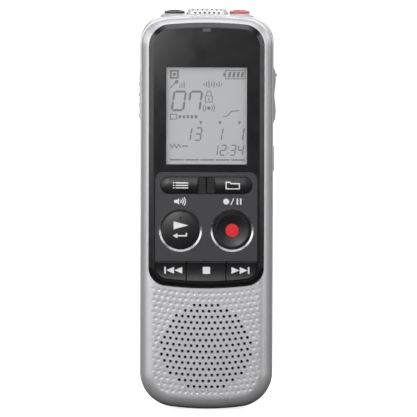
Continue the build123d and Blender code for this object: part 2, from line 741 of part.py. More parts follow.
def row_spans():
    half = PANEL_W / 2
    split = ROW_SPLIT / 2
    return {
        "rewind_key": (-half, -ROW_SPLIT_X - split),
        "stop_key": (-ROW_SPLIT_X + split, ROW_SPLIT_X - split),
        "forward_key": (ROW_SPLIT_X + split, half),
    }


def stem_spots():
    """Where the seven front keys press on the mat."""
    row = [((low + high) / 2, row_stem_z()) for low, high in row_spans().values()]
    return [*mirrored(PILL_W / 4, PILL_Z), *mirrored(ROUND_KEY_X, ROUND_KEY_Z), *row]


def key_mat():
    """The rubber sheet: a boss under each key and a pocket for the dome behind it."""
    mat = slab(rect(MAT_W, MAT_LOW_Z, MAT_HIGH_Z, MAT_CORNER_R), MAT_TOP_Y, BOARD_FRONT_Y)
    mat += [rod_y(x, z, (MAT_BOSS_Y, MAT_TOP_Y), MAT_BOSS_R) for x, z in stem_spots()]
    pocket_y = (BOARD_FRONT_Y - DOME_H - DOME_ROOM, BOARD_FRONT_Y)
    return mat - [rod_y(x, z, pocket_y, DOME_R + DOME_ROOM) for x, z in stem_spots()]


def key_domes():
    """The snap domes on the board, one under each front key."""
    dome_y = (BOARD_FRONT_Y - DOME_H, BOARD_FRONT_Y)
    return Compound(children=[rod_y(x, z, dome_y, DOME_R) for x, z in stem_spots()])


# ---- board and display
def main_board():
    outline = body_outline(BOARD_INSET) & strip(BOARD_LOW_Z, BODY_H)
    notch_r = REAR_BOSS_R + BOARD_NOTCH
    board = slab(outline, BOARD_FRONT_Y, BOARD_BACK_Y)
    return board - [rod_y(x, z, (BOARD_FRONT_Y, BOARD_BACK_Y), notch_r) for x, z in screw_spots()]


def board_chips():
    """Processor, memory and power chips on the back of the board."""
    chip_y = (BOARD_BACK_Y, BOARD_BACK_Y + CHIP_H)
    return Compound(children=[block(around(x, w / 2), chip_y, around(z, w / 2)) for x, z, w in CHIPS])


def display_glass():
    return slab(glass_outline(), GLASS_FRONT_Y, GLASS_BACK_Y)


def display_holder():
    """A tray between the glass and the board."""
    high = GLASS_HIGH_Z + HOLDER_LIP
    width = GLASS_W + 2 * HOLDER_LIP
    tray = slab(rect(width, HOLDER_LOW_Z, high), GLASS_BACK_Y + LOOSE_GAP, BOARD_FRONT_Y)
    hollow = rect(width - 2 * HOLDER_WALL, HOLDER_LOW_Z + HOLDER_WALL, high - HOLDER_WALL)
    return tray - slab(hollow, GLASS_BACK_Y, BOARD_FRONT_Y - HOLDER_FLOOR)


def display_connector():
    return slab(rect(CONNECTOR_W, CONNECTOR_LOW_Z, CONNECTOR_HIGH_Z), GLASS_BACK_Y, BOARD_FRONT_Y)


def indicator_lens():
    """A light guide from the panel to the lamp on the board."""
    back = BOARD_FRONT_Y - CHIP_LED_T - LOOSE_GAP
    return slab(lens_outline(-SEAT_GAP), PANEL_TOP_Y - LENS_PROUD, back)


def indicator_led():
    lamp = rect(CHIP_LED_W, *around(LED_Z, CHIP_LED_H / 2))
    return slab(lamp, BOARD_FRONT_Y - CHIP_LED_T, BOARD_FRONT_Y)


# ---- speaker
def speaker_tube(inner, y):
    return rod_y(0, SPEAKER_Z, y, SPEAKER_R) - rod_y(0, SPEAKER_Z, y, inner)


def speaker_mesh():
    return rod_y(0, SPEAKER_Z, (SPEAKER_SEAT_Y, SPEAKER_SEAT_Y + MESH_T), SPEAKER_R)


def speaker_gasket():
    return speaker_tube(SPEAKER_R - GASKET_RIM, (SPEAKER_SEAT_Y + MESH_T, FRAME_Y))


def speaker_frame():
    """The basket: a rim around the diaphragm and a back plate around the magnet."""
    back = FRAME_Y + FRAME_DEPTH
    rim = speaker_tube(SPEAKER_R - FRAME_RIM, (FRAME_Y, back))
    return rim + speaker_tube(MAGNET_R + CELL_GAP, (back, back + FRAME_BACK))


def speaker_cone():
    """The diaphragm: a shallow cone with a thin wall and a raised centre cap."""
    front = [(radius, FRAME_Y + depth) for radius, depth in CONE_PROFILE]
    back = [(radius, y + CONE_T) for radius, y in reversed(front)]
    profile = make_face(Polyline(*front, *back, close=True))
    return Pos(0, 0, SPEAKER_Z) * revolve(profile, Axis.Y)


def speaker_magnet():
    front = FRAME_Y + FRAME_DEPTH + LOOSE_GAP
    return rod_y(0, SPEAKER_Z, (front, front + MAGNET_DEPTH), MAGNET_R)


# ---- top end
def jack(side):
    """A 3.5 mm socket with its nose up through the case; side is -1 or 1."""
    x = side * JACK_X
    half = JACK_BODY_W / 2
    body = block(around(x, half), around(TOP_Y, half), (JACK_LOW_Z - JACK_FLOOR, JACK_BODY_TOP_Z))
    body += rod_z(x, TOP_Y, (JACK_BODY_TOP_Z, NOSE_TOP_Z), NOSE_R)
    return body - rod_z(x, TOP_Y, (JACK_LOW_Z, NOSE_TOP_Z), JACK_R)


def jack_ring(side):
    ring = rod_z(side * JACK_X, TOP_Y, (NOSE_TOP_Z, RING_TOP_Z), RING_R)
    ring = fillet(outer_edges(ring, Axis.Z), RING_EDGE_R)
    return ring - rod_z(side * JACK_X, TOP_Y, (NOSE_TOP_Z, RING_TOP_Z), RING_HOLE_R)


def grille_form(inset, top):
    """A four-sided tapered cap, drawn in by inset."""
    sizes = zip((GRILLE_BASE, GRILLE_TOP), GRILLE_CORNERS, (GRILLE_SEAT_Z, top))
    ends = [
        Pos(0, TOP_Y, z) * RectangleRounded(width - 2 * inset, depth - 2 * inset, corner)
        for (width, depth), corner, z in sizes
    ]
    return loft(ends, ruled=True)


def microphone_grille():
    outer = fillet(outer_edges(grille_form(0, GRILLE_TOP_Z), Axis.Z), GRILLE_EDGE_R)
    grille = outer - grille_form(GRILLE_WALL, GRILLE_TOP_Z - GRILLE_WALL)
    whole = [step * GRILLE_PITCH for step in range(-GRILLE_HALF_COUNT, GRILLE_HALF_COUNT + 1)]
    between = [x + GRILLE_PITCH / 2 for x in whole[:-1]]
    drill = Cylinder(GRILLE_HOLE_R, 2 * GRILLE_WALL)
    out, up = GRILLE_SHOULDER
    for side in (-1, 1):
        ends = sorted((TOP_Y, TOP_Y + side * GRILLE_BASE[1]))
        grille -= [rod_y(x, GRILLE_SIDE_Z, ends, GRILLE_HOLE_R) for x in between]
        tilt = Pos(0, TOP_Y + side * out, up) * Rot(-side * GRILLE_SLANT, 0, 0)
        grille -= [Pos(x, 0, 0) * tilt * drill for x in whole]
    for row in (-1, 0, 1):
        y = TOP_Y + row * GRILLE_ROW_PITCH
        holes = whole if row == 0 else between
        grille -= [rod_z(x, y, (GRILLE_SEAT_Z, GRILLE_TOP_Z), GRILLE_HOLE_R) for x in holes]
    return grille


def microphone_boot():
    boot = rod_z(0, TOP_Y, (BOOT_LOW_Z, BOOT_TOP_Z), BOOT_R)
    return boot - rod_z(0, TOP_Y, (BOOT_LOW_Z + BOOT_FLOOR, BOOT_TOP_Z), MIC_R + SEAT_GAP)


def microphone():
    return rod_z(0, TOP_Y, (BOOT_LOW_Z + BOOT_FLOOR, BOOT_TOP_Z - MIC_SINK), MIC_R)


# ---- side controls
def power_hold_knob():
    """The slide on the left side, with four grip ribs and a fork for the switch."""
    depth = around(TOP_Y, KNOB_HALF_D)
    knob = block((-SIDE_X - KNOB_PROUD, KNOB_BACK_X), depth, around(KNOB_Z, KNOB_HALF_H))
    knob = fillet(outer_edges(knob, Axis.X, 0), KNOB_EDGE_R)
    rib_y = around(TOP_Y, KNOB_HALF_D - RIB_INSET)
    for i in range(RIB_COUNT):
        low = RIB_LOW_Z + i * RIB_PITCH
        knob += block((-SIDE_X - RIB_PROUD, -SIDE_X), rib_y, (low, low + RIB_H))
    fork_y = around(TOP_Y, FORK_HALF_D)
    knob += block((KNOB_BACK_X, FORK_X), fork_y, around(KNOB_Z, FORK_HALF_H))
    return knob - block((FORK_SLOT_X, FORK_X), fork_y, around(KNOB_Z, FORK_SLOT_HALF_H))


def slide_switch():
    body = block(SWITCH_X, (BOARD_BACK_Y, SWITCH_BACK_Y), around(KNOB_Z, SWITCH_HALF_H))
    slot_z = around(KNOB_Z, LEVER_HALF_H + KNOB_TRAVEL + SLIDE_GAP)
    slot_y = around(TOP_Y, LEVER_HALF_D + POCKET_GAP)
    return body - block((SWITCH_X[0], LEVER_X[1] + SLIDE_GAP), slot_y, slot_z)


def slide_switch_lever():
    return block(LEVER_X, around(TOP_Y, LEVER_HALF_D), around(KNOB_Z, LEVER_HALF_H))


def volume_rocker():
    """Two humps with a dip between them, a pip on the plus end, and a web on the pivot pin."""
    hump, dip, end = (SIDE_X + rise for rise in (ROCKER_HUMP, ROCKER_DIP, ROCKER_END))
    low, high = around(ROCKER_Z, ROCKER_HALF_H)
    low_hump, high_hump = around(ROCKER_Z, ROCKER_HUMP_Z)
    face = Spline((end, low), (hump, low_hump), (dip, ROCKER_Z), (hump, high_hump), (end, high))
    back = Polyline((end, high), (ROCKER_BACK_X, high), (ROCKER_BACK_X, low), (end, low))
    rocker = slab(make_face([face, back]), *around(TOP_Y, ROCKER_HALF_D))
    rocker += Pos(hump - PIP_SINK, TOP_Y, PIP_Z) * Sphere(PIP_R)
    web_z = around(ROCKER_Z, WEB_HALF_H)
    rocker += block((ROCKER_OPENING_X, ROCKER_BACK_X), around(TOP_Y, WEB_HALF_D), web_z)
    for z in PUSH_SPOTS[:2]:
        foot_x = (PUSH_TIP_X + PUSH_GAP, ROCKER_BACK_X)
        rocker += block(foot_x, around(TOP_Y, FOOT_HALF), around(z, FOOT_HALF))
    return rocker - rod_y(ROCKER_PIVOT_X, ROCKER_Z, around(TOP_Y, ROCKER_HALF_D), PIN_R + LOOSE_GAP)


def rocker_pin():
    return rod_y(ROCKER_PIVOT_X, ROCKER_Z, around(TOP_Y, PIN_HALF_L), PIN_R)


def erase_button():
    outer = SIDE_X + ERASE_PROUD
    turn = Pos((outer + ERASE_BACK_X) / 2, TOP_Y, ERASE_Z) * Rot(0, 90, 0)
    body = turn * obround(ERASE_H, 2 * ERASE_HALF_D, outer - ERASE_BACK_X)
    body = fillet(outer_edges(body, Axis.X), ERASE_EDGE_R)
    flange_y = around(TOP_Y, ERASE_HALF_D + ERASE_FLANGE)
    flange_z = around(ERASE_Z, ERASE_H / 2 + ERASE_FLANGE)
    return body + block((ERASE_BACK_X - ERASE_FLANGE_T, ERASE_BACK_X), flange_y, flange_z)


def side_switches():
    """Three right-angle push switches behind the rocker and the erase button."""
    switches = []
    for z in PUSH_SPOTS:
        body = block(PUSH_X, (BOARD_BACK_Y, PUSH_BACK_Y), around(z, PUSH_HALF_H))
        switches.append(body + rod_x(TOP_Y, z, (PUSH_X[1], PUSH_TIP_X), PUSH_TIP_R))
    return Compound(children=switches)


# ---- battery bay
def cell(x, low, up):
    """One AAA cell standing on z = low, with its nub at the top if up."""
    can = (low, low + CELL_LENGTH - NUB_H) if up else (low + NUB_H, low + CELL_LENGTH)
    nub = (can[1], low + CELL_LENGTH) if up else (low, can[0])
    body = rod_z(x, CELL_Y, can, CELL_R)
    body = fillet(body.edges(), CELL_EDGE_R)
    return body + rod_z(x, CELL_Y, nub, NUB_R)


def contact(x, z):
    return block(x, around(CELL_Y, CONTACT_HALF_D), z)


def coil_spring(x, low, high):
    """A cone-shaped coil: wide on its plate, narrow at the cell."""
    path = Pos(x, CELL_Y, low) * Helix((high - low) / COIL_TURNS, high - low, COIL_R, cone_angle=-COIL_TAPER)
    section = Plane(path @ 0, z_dir=path % 0) * Circle(WIRE_R)
    return sweep(section, path)


def battery_pieces():
    """The cells, lying opposite ways, and the contacts at the two ends of the bay."""
    low = BAY_LOW_Z + LOOSE_GAP + CONTACT_T
    high = BAY_HIGH_Z - LOOSE_GAP - CONTACT_T
    room = high - low - CELL_LENGTH
    coil_z = (low + WIRE_R, low + room - WIRE_R - COIL_ROOM)
    middle = Plane.XY.offset((low + high) / 2)
    right = (CONTACT_INNER_X, CONTACT_OUTER_X)
    left = (-CONTACT_OUTER_X, -CONTACT_INNER_X)
    return {
        "battery_left": cell(-CELL_X, low + CELL_GAP, up=False),
        "battery_right": cell(CELL_X, high - CELL_GAP - CELL_LENGTH, up=True),
        "battery_bridge": contact(around(0, CONTACT_OUTER_X), (low - CONTACT_T, low)),
        "battery_spring_low": coil_spring(CELL_X, *coil_z),
        "battery_spring_high": mirror(coil_spring(-CELL_X, *coil_z), middle),
        "positive_contact": contact(right, (high, high + CONTACT_T)),
        "negative_contact": contact(left, (high, high + CONTACT_T)),
    }


def battery_door():
    """The battery cover: a slab with a round hinge edge and grip grooves."""
    door = block(around(0, DOOR_HALF_W), (DOOR_INNER_Y, BACK_Y), (HINGE_Z, DOOR_TOP_Z))
    door = fillet(door.edges().filter_by(Axis.Y).group_by(Axis.Z)[-1], DOOR_CORNER_R)
    door += rod_x(HINGE_Y, HINGE_Z, around(0, DOOR_HALF_W), BARREL_R)
    door -= both(rod_x(HINGE_Y, HINGE_Z, (HINGE_PIN_X[0], DOOR_HALF_W), HINGE_PIN_R + LOOSE_GAP))
    for i in range(GRIP_COUNT):
        z = GRIP_LOW_Z + i * GRIP_PITCH
        door -= rod_x(BACK_Y + GRIP_UP, z, around(0, GRIP_HALF_W), GRIP_R)
    return door


def hinge_pins():
    pin = rod_x(HINGE_Y, HINGE_Z, (HINGE_PIN_X[0] + LOOSE_GAP, HINGE_PIN_X[1]), HINGE_PIN_R)
    return Compound(children=[pin, mirror(pin, Plane.YZ)])


def case_screw(x, z):
    """A pan-head screw with a cross recess."""
    screw = rod_y(x, z, (SHANK_TIP_Y, HEAD_SEAT_Y), SHANK_R)
    screw += rod_y(x, z, (HEAD_SEAT_Y, HEAD_SEAT_Y + HEAD_H), HEAD_R)
    recess_y = (HEAD_SEAT_Y + HEAD_H - RECESS_DEPTH, HEAD_SEAT_Y + HEAD_H)
    screw -= block(around(x, RECESS_HALF_L), recess_y, around(z, RECESS_HALF_W))
    return screw - block(around(x, RECESS_HALF_W), recess_y, around(z, RECESS_HALF_L))


def case_screws():
    return Compound(children=[case_screw(x, z) for x, z in screw_spots()])


def pieces():
    """Every piece, by the name of its node."""
    return {
        "front_case": front_case(),
        "rear_case": rear_case(),
        "display_panel": display_panel(),
        "display_window": display_window(),
        "keypad_plate": keypad_plate(),
        "key_bezels": key_bezels(),
        "menu_key": half_pill(-1),
        "folder_key": half_pill(1),
        "play_key": play_key(),
        "record_key": record_key(),
        "record_mark": record_mark(),
        **{name: row_key(*span) for name, span in row_spans().items()},
        "key_mat": key_mat(),
        "key_domes": key_domes(),
        "main_board": main_board(),
        "board_chips": board_chips(),
        "display_glass": display_glass(),
        "display_holder": display_holder(),
        "display_connector": display_connector(),
        "indicator_lens": indicator_lens(),
        "indicator_led": indicator_led(),
        "speaker_mesh": speaker_mesh(),
        "speaker_gasket": speaker_gasket(),
        "speaker_frame": speaker_frame(),
        "speaker_cone": speaker_cone(),
        "speaker_magnet": speaker_magnet(),
        "earphone_jack": jack(-1),
        "microphone_jack": jack(1),
        "earphone_ring": jack_ring(-1),
        "microphone_ring": jack_ring(1),
        "microphone_grille": microphone_grille(),
        "microphone_boot": microphone_boot(),
        "microphone": microphone(),
        "power_hold_knob": power_hold_knob(),
        "slide_switch": slide_switch(),
        "slide_switch_lever": slide_switch_lever(),
        "volume_rocker": volume_rocker(),
        "rocker_pin": rocker_pin(),
        "erase_button": erase_button(),
        "side_switches": side_switches(),
        **battery_pieces(),
        "battery_door": battery_door(),
        "hinge_pins": hinge_pins(),
        "case_screws": case_screws(),
    }


os.makedirs("parts", exist_ok=True)
for name, piece in pieces().items():
    export_step(piece, f"parts/{name}.step")
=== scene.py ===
import json
import math

import bmesh
import bpy
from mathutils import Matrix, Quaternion, Vector
from mathutils.bvhtree import BVHTree


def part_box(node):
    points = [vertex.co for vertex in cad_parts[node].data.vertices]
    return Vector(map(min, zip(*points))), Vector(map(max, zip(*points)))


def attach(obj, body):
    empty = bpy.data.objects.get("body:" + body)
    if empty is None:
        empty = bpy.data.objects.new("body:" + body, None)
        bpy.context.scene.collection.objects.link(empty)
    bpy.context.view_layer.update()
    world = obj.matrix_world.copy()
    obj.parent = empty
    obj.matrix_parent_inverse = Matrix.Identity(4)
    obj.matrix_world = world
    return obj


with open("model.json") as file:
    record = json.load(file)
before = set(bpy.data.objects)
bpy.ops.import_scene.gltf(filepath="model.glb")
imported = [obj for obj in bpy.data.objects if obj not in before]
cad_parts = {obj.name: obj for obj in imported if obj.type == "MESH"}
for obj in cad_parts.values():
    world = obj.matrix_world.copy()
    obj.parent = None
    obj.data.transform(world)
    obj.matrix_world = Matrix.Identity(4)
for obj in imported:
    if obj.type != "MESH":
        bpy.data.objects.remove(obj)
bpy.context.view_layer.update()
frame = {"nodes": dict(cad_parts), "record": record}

# Handheld voice recorder. Sizes on the object are in millimetres, and MM turns them into metres.
MM = 0.001
NODES = frame["nodes"]
BODIES = frame["record"]["behaviour"]["bodies"]

# ---- camera
CAMERA_TILT = math.radians(6.0)
CAMERA_TURN = math.radians(0.5)
CAMERA_ROLL = math.radians(0.15)
CAMERA_DISTANCE = 3.0       # metres
FRAME_HEIGHT = 119.85 * MM  # what the picture spans at the aim
SENSOR = 36.0
AIM = Vector((0.54, 0.0, 57.5)) * MM

# ---- studio: places and sizes in metres
WHITE = (1.0, 1.0, 1.0, 1.0)
BACKDROP_LIGHT = 1.0        # what the camera sees past the floor
ROOM_LIGHT = 0.35           # what lights the object from all around
FLOOR_SIZE = 12.0
FLOOR_SEEN = 0.9            # the floor's grey in the picture
FLOOR_GLOW = 0.8
FLOOR_UNSEEN = 0.06         # and its grey as a source of bounced light
SOFTBOXES = {
    # name: (place, size, radiance)
    "left_box": ((-0.50, -0.35, 0.20), (0.42, 0.42), 3.0),
    "right_box": ((0.50, -0.35, 0.19), (0.36, 0.40), 2.6),
    "front_box": ((-0.12, -0.60, 0.21), (0.45, 0.26), 1.8),
    "front_top_box": ((0.0, -0.50, 0.47), (0.60, 0.30), 1.6),
    "top_strip": ((0.0, -0.31, 0.63), (0.40, 0.09), 2.6),
    "near_left_box": ((-0.041, -0.20, 0.111), (0.056, 0.060), 4.6),
    "left_card": ((-0.115, -0.24, 0.055), (0.17, 0.11), 1.1),
    "low_card": ((0.0, -0.26, 0.05), (0.26, 0.10), 0.2),
    "top_box": ((0.0, -0.12, 0.75), (0.9, 0.7), 1.5),
    "left_side_box": ((-0.60, 0.18, 0.30), (0.40, 0.34), 1.8),
    "right_side_box": ((0.60, 0.18, 0.30), (0.40, 0.34), 1.8),
    "back_box": ((0.1, 0.7, 0.4), (0.7, 0.4), 2.6),
}

# ---- printing
PAINT_PROUD = 0.015         # the keys' signs stand this far off the surface
INK_PROUD = 0.02            # and the display's segments this far
PRINT_SINK = 0.02           # how far a print goes into what it lies on
HAIRLINE = 0.24             # the strokes of the display's signs
BOLD_LINE = 0.3
WINDOW_FLANGE = 0.65        # of the display window, behind the panel
PLATE_SIGNS_RISE = 8.32     # from the middle of the round keys to the signs above them

# ---- cells: heights of the printed band, the bare upper end and the bare lower end
CELL_BAND = 13.0
CELL_END = 1.2
CELL_FOOT = 0.4


def node_box(name):
    """A node's lowest and highest corners, in millimetres."""
    low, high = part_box(name)
    return low / MM, high / MM


# ======== materials
class Surface:
    """A Principled material whose patterns are measured in millimetres on the piece itself."""

    def __init__(self, name, colour, rough, metallic=0.0, **sockets):
        self.material = bpy.data.materials.new(name)
        self.material.use_nodes = True
        self.tree = self.material.node_tree
        self.shader = self.tree.nodes["Principled BSDF"]
        self.colour = (*colour, 1.0)
        self.shader.inputs["Base Color"].default_value = self.colour
        self.shader.inputs["Roughness"].default_value = rough
        self.shader.inputs["Metallic"].default_value = metallic
        for socket, value in sockets.items():
            self.shader.inputs[socket.replace("_", " ")].default_value = value
        place = self.tree.nodes.new("ShaderNodeTexCoord")
        self.scaled = self.tree.nodes.new("ShaderNodeMapping")
        self.scaled.inputs["Scale"].default_value = (1 / MM, 1 / MM, 1 / MM)
        self.tree.links.new(place.outputs["Object"], self.scaled.inputs["Vector"])

    def node(self, kind, **inputs):
        made = self.tree.nodes.new(kind)
        for name, value in inputs.items():
            self.plug(value, made.inputs[name.replace("_", " ")])
        return made

    def plug(self, value, socket):
        if isinstance(value, bpy.types.NodeSocket):
            self.tree.links.new(value, socket)
        else:
            socket.default_value = value

    def noise(self, size, detail):
        """Soft noise from 0 to 1, with blotches about size across."""
        place = self.scaled.outputs[0]
        return self.node("ShaderNodeTexNoise", Vector=place, Scale=1 / size, Detail=detail).outputs["Fac"]

    def spread(self, value, low, high):
        """Noise, most of which is from 0.3 to 0.7, stretched to run from low to high."""
        made = self.node("ShaderNodeMapRange", Value=value, To_Min=low, To_Max=high)
        made.inputs["From Min"].default_value = 0.3
        made.inputs["From Max"].default_value = 0.7
        return made.outputs["Result"]

    def beyond(self, limit):
        """0 below this height and 1 above it."""
        height = self.node("ShaderNodeSeparateXYZ", Vector=self.scaled.outputs[0]).outputs["Z"]
        step = self.node("ShaderNodeMath")
        step.operation = "GREATER_THAN"
        self.plug(height, step.inputs[0])
        self.plug(limit, step.inputs[1])
        return step.outputs[0]

    def blend(self, factor, first, second):
        """Two colours mixed by a factor."""
        made = self.tree.nodes.new("ShaderNodeMix")
        made.data_type = "RGBA"
        self.plug(factor, made.inputs["Factor"])
        # a mix node has one pair of inputs and one output for each type, and these are the colours
        self.plug(first, made.inputs[6])
        self.plug(second, made.inputs[7])
        return made.outputs[2]

    def paint(self, colour):
        self.plug(colour, self.shader.inputs["Base Color"])

    def mottle(self, size, amount, detail=2.0):
        """The colour drifts lighter and darker by this share."""
        darker = tuple(c * (1 - amount) for c in self.colour[:3]) + (1.0,)
        lighter = tuple(min(1.0, c * (1 + amount)) for c in self.colour[:3]) + (1.0,)
        self.paint(self.blend(self.spread(self.noise(size, detail), 0.0, 1.0), darker, lighter))

    def worn(self, size, low, high):
        """The roughness drifts between low and high."""
        self.plug(self.spread(self.noise(size, 3.0), low, high), self.shader.inputs["Roughness"])

    def relief(self, size, depth):
        """Fine bumps about size across and depth deep."""
        bump = self.node("ShaderNodeBump", Height=self.noise(size, 2.0), Strength=1.0, Distance=depth * MM)
        self.plug(bump.outputs[0], self.shader.inputs["Normal"])


def silver_paint(name, colour):
    """Satin silver paint on plastic: fine metal flakes under a thin clear coat."""
    made = Surface(name, colour, 0.41, metallic=0.6, Coat_Weight=0.2, Coat_Roughness=0.36)
    made.mottle(0.12, 0.05, detail=1.0)
    made.worn(7.0, 0.38, 0.44)
    made.relief(0.09, 0.006)
    return made


def gloss_plastic(name, colour, rough):
    """Polished moulding, with the faint waviness and haze of a handled one."""
    made = Surface(name, colour, rough, Specular_IOR_Level=0.4)
    made.mottle(9.0, 0.06)
    made.worn(5.0, rough * 0.9, rough * 1.3)
    made.relief(0.12, 0.001)
    return made


def satin_plastic(name, colour, rough, grain=0.15, depth=0.012):
    """Moulded plastic with a fine spark-eroded grain."""
    made = Surface(name, colour, rough)
    made.mottle(6.0, 0.06)
    made.worn(2.5, rough * 0.9, min(1.0, rough * 1.1))
    made.relief(grain, depth)
    return made


def steel(name, colour, rough):
    """Plated steel: bright, with a fine uneven sheen."""
    made = Surface(name, colour, rough, metallic=1.0)
    made.mottle(1.5, 0.08)
    made.worn(0.4, rough * 0.7, rough * 1.4)
    made.relief(0.12, 0.004)
    return made


def white_ink(name):
    """Screen ink, slightly uneven."""
    made = Surface(name, (0.60, 0.60, 0.60), 0.45)
    made.mottle(0.3, 0.05)
    made.relief(0.1, 0.003)
    return made


def display_background(name):
    """Polariser over the liquid crystal: a flat grey with a faint sparkle."""
    made = Surface(name, (0.325, 0.33, 0.335), 0.35)
    made.mottle(0.15, 0.025)
    made.worn(1.0, 0.3, 0.4)
    made.relief(0.08, 0.002)
    return made


def display_ink(name):
    """Darkened liquid crystal."""
    made = Surface(name, (0.062, 0.068, 0.072), 0.4)
    made.mottle(0.5, 0.12)
    made.relief(0.08, 0.002)
    return made


def clear_window(name):
    """Hard clear acrylic: what is behind it shows through, and the front mirrors the room."""
    made = Surface(name, (0.9, 0.9, 0.9), 0.04, Alpha=0.06, Specular_IOR_Level=1.0)
    made.worn(8.0, 0.03, 0.06)
    return made


def circuit_green(name):
    """Solder mask with the faint grid of tracks under it."""
    made = Surface(name, (0.012, 0.11, 0.04), 0.3)
    tracks = made.node("ShaderNodeTexBrick", Vector=made.scaled.outputs[0], Scale=0.35)
    made.paint(made.blend(tracks.outputs["Fac"], made.colour, (0.05, 0.2, 0.08, 1.0)))
    made.worn(2.0, 0.25, 0.4)
    return made


def cell_jacket(name):
    """A plain cell: a slate jacket with a pale band at its upper end, and bare metal at both ends."""
    low, high = node_box("battery_left")
    made = Surface(name, (0.07, 0.11, 0.16), 0.25, Coat_Weight=0.4, Coat_Roughness=0.1)
    pale = (0.55, 0.57, 0.58, 1.0)
    bare = (0.5, 0.5, 0.48, 1.0)
    colour = made.blend(made.beyond(high.z - CELL_BAND), made.colour, pale)
    colour = made.blend(made.beyond(high.z - CELL_END), colour, bare)
    colour = made.blend(made.beyond(low.z + CELL_FOOT), bare, colour)
    made.paint(colour)
    made.worn(3.0, 0.2, 0.35)
    return made


# ======== outlines, as lists of (x, z) in millimetres
def disc(x, z, radius, steps):
    turn = 2 * math.pi / steps
    return [(x + radius * math.cos(i * turn), z + radius * math.sin(i * turn)) for i in range(steps)]


def box_outline(x, z, width, height):
    right, up = width / 2, height / 2
    return [(x - right, z - up), (x + right, z - up), (x + right, z + up), (x - right, z + up)]


def ribbon(points, width, closed=False):
    """A line of this width as quads that share their mitred corners."""
    count = len(points)
    sides = []
    for i, (x, z) in enumerate(points):
        before = points[i - 1] if i or closed else None
        after = points[(i + 1) % count] if i < count - 1 or closed else None
        normals = []
        for start, end in ((before, (x, z)), ((x, z), after)):
            if start and end:
                run = math.hypot(end[0] - start[0], end[1] - start[1])
                normals.append(((start[1] - end[1]) / run, (end[0] - start[0]) / run))
        nx, nz = (sum(n[k] for n in normals) / len(normals) for k in (0, 1))
        reach = width / 2 / (nx * nx + nz * nz)
        sides.append(((x + nx * reach, z + nz * reach), (x - nx * reach, z - nz * reach)))
    last = count if closed else count - 1
    return [
        [sides[i][0], sides[i][1], sides[(i + 1) % count][1], sides[(i + 1) % count][0]]
        for i in range(last)
    ]


def arc(x, z, radius, start, end, steps=10):
    """Points along an arc, from start to end in degrees."""
    angles = [math.radians(start + (end - start) * i / steps) for i in range(steps + 1)]
    return [(x + radius * math.cos(a), z + radius * math.sin(a)) for a in angles]


# ---- seven-segment digits
SEGMENT_ENDS = {
    "a": ((0, 2), (1, 2)),
    "b": ((1, 2), (1, 1)),
    "c": ((1, 1), (1, 0)),
    "d": ((0, 0), (1, 0)),
    "e": ((0, 1), (0, 0)),
    "f": ((0, 2), (0, 1)),
    "g": ((0, 1), (1, 1)),
}
DIGIT_SEGMENTS = {"0": "abcdef", "1": "bc", "2": "abged", "3": "abgcd", "4": "fgbc", "7": "abcf"}
DIGIT_ROWS = (
    # digits, their left edges, foot, width, height, stroke: the message number, the date and the clock
    ("07", (1.2, 5.85), 12.75, 3.9, 6.0, 0.62),
    ("1311", (5.0, 7.9, 13.9, 20.0), 21.25, 2.0, 3.95, 0.38),
    ("1234", (12.9, 15.2, 18.0, 20.2), 25.5, 1.75, 3.2, 0.34),
)
SLANT = 0.15
SEGMENT_GAP = 0.12          # between segments, as a share of their stroke


def bar(start, end, stroke, gap):
    """One segment: a bar with pointed ends."""
    run = math.hypot(end[0] - start[0], end[1] - start[1])
    dx, dz = (end[0] - start[0]) / run, (end[1] - start[1]) / run
    half = stroke / 2

    def at(along, aside):
        return start[0] + dx * along - dz * aside, start[1] + dz * along + dx * aside

    near, far = gap + half, run - gap - half
    return [at(gap, 0), at(near, half), at(far, half), at(run - gap, 0), at(far, -half), at(near, -half)]


def digit(shape, x, z, width, height, stroke):
    """A slanted digit whose lower left corner is at (x, z)."""
    across, up = width - stroke, (height - stroke) / 2
    made = []
    for segment in DIGIT_SEGMENTS[shape]:
        start, end = (
            (x + stroke / 2 + i * across, z + stroke / 2 + j * up) for i, j in SEGMENT_ENDS[segment]
        )
        outline = bar(start, end, stroke, stroke * SEGMENT_GAP)
        made.append([(px + (pz - z) * SLANT, pz) for px, pz in outline])
    return made


# ======== thin pieces laid on a surface
def front_of(node):
    """Finds the y, in millimetres, of a node's front at a place on X and Z."""
    mesh = NODES[node].data
    tree = BVHTree.FromPolygons([v.co for v in mesh.vertices], [p.vertices for p in mesh.polygons])

    def find(x, z):
        start = Vector((x * MM, -1.0, z * MM))
        return tree.ray_cast(start, Vector((0, 1, 0)))[0].y / MM

    return find


def add_print(bm, outline, find_y, cuts, proud):
    """Adds one outline with a real thickness, on the surface that find_y finds."""
    part = bmesh.new()
    face = part.faces.new([part.verts.new((x, 0, z)) for x, z in outline])
    if cuts:
        bmesh.ops.triangulate(part, faces=[face])
        bmesh.ops.subdivide_edges(part, edges=part.edges, cuts=cuts, use_grid_fill=True)
    extruded = bmesh.ops.extrude_face_region(part, geom=part.faces[:])
    lifted = {e for e in extruded["geom"] if isinstance(e, bmesh.types.BMVert)}
    for v in part.verts:
        v.co.y = find_y(v.co.x, v.co.z) + (-proud if v in lifted else PRINT_SINK)
    mesh = bpy.data.meshes.new("part")
    part.to_mesh(mesh)
    part.free()
    bm.from_mesh(mesh)
    bpy.data.meshes.remove(mesh)


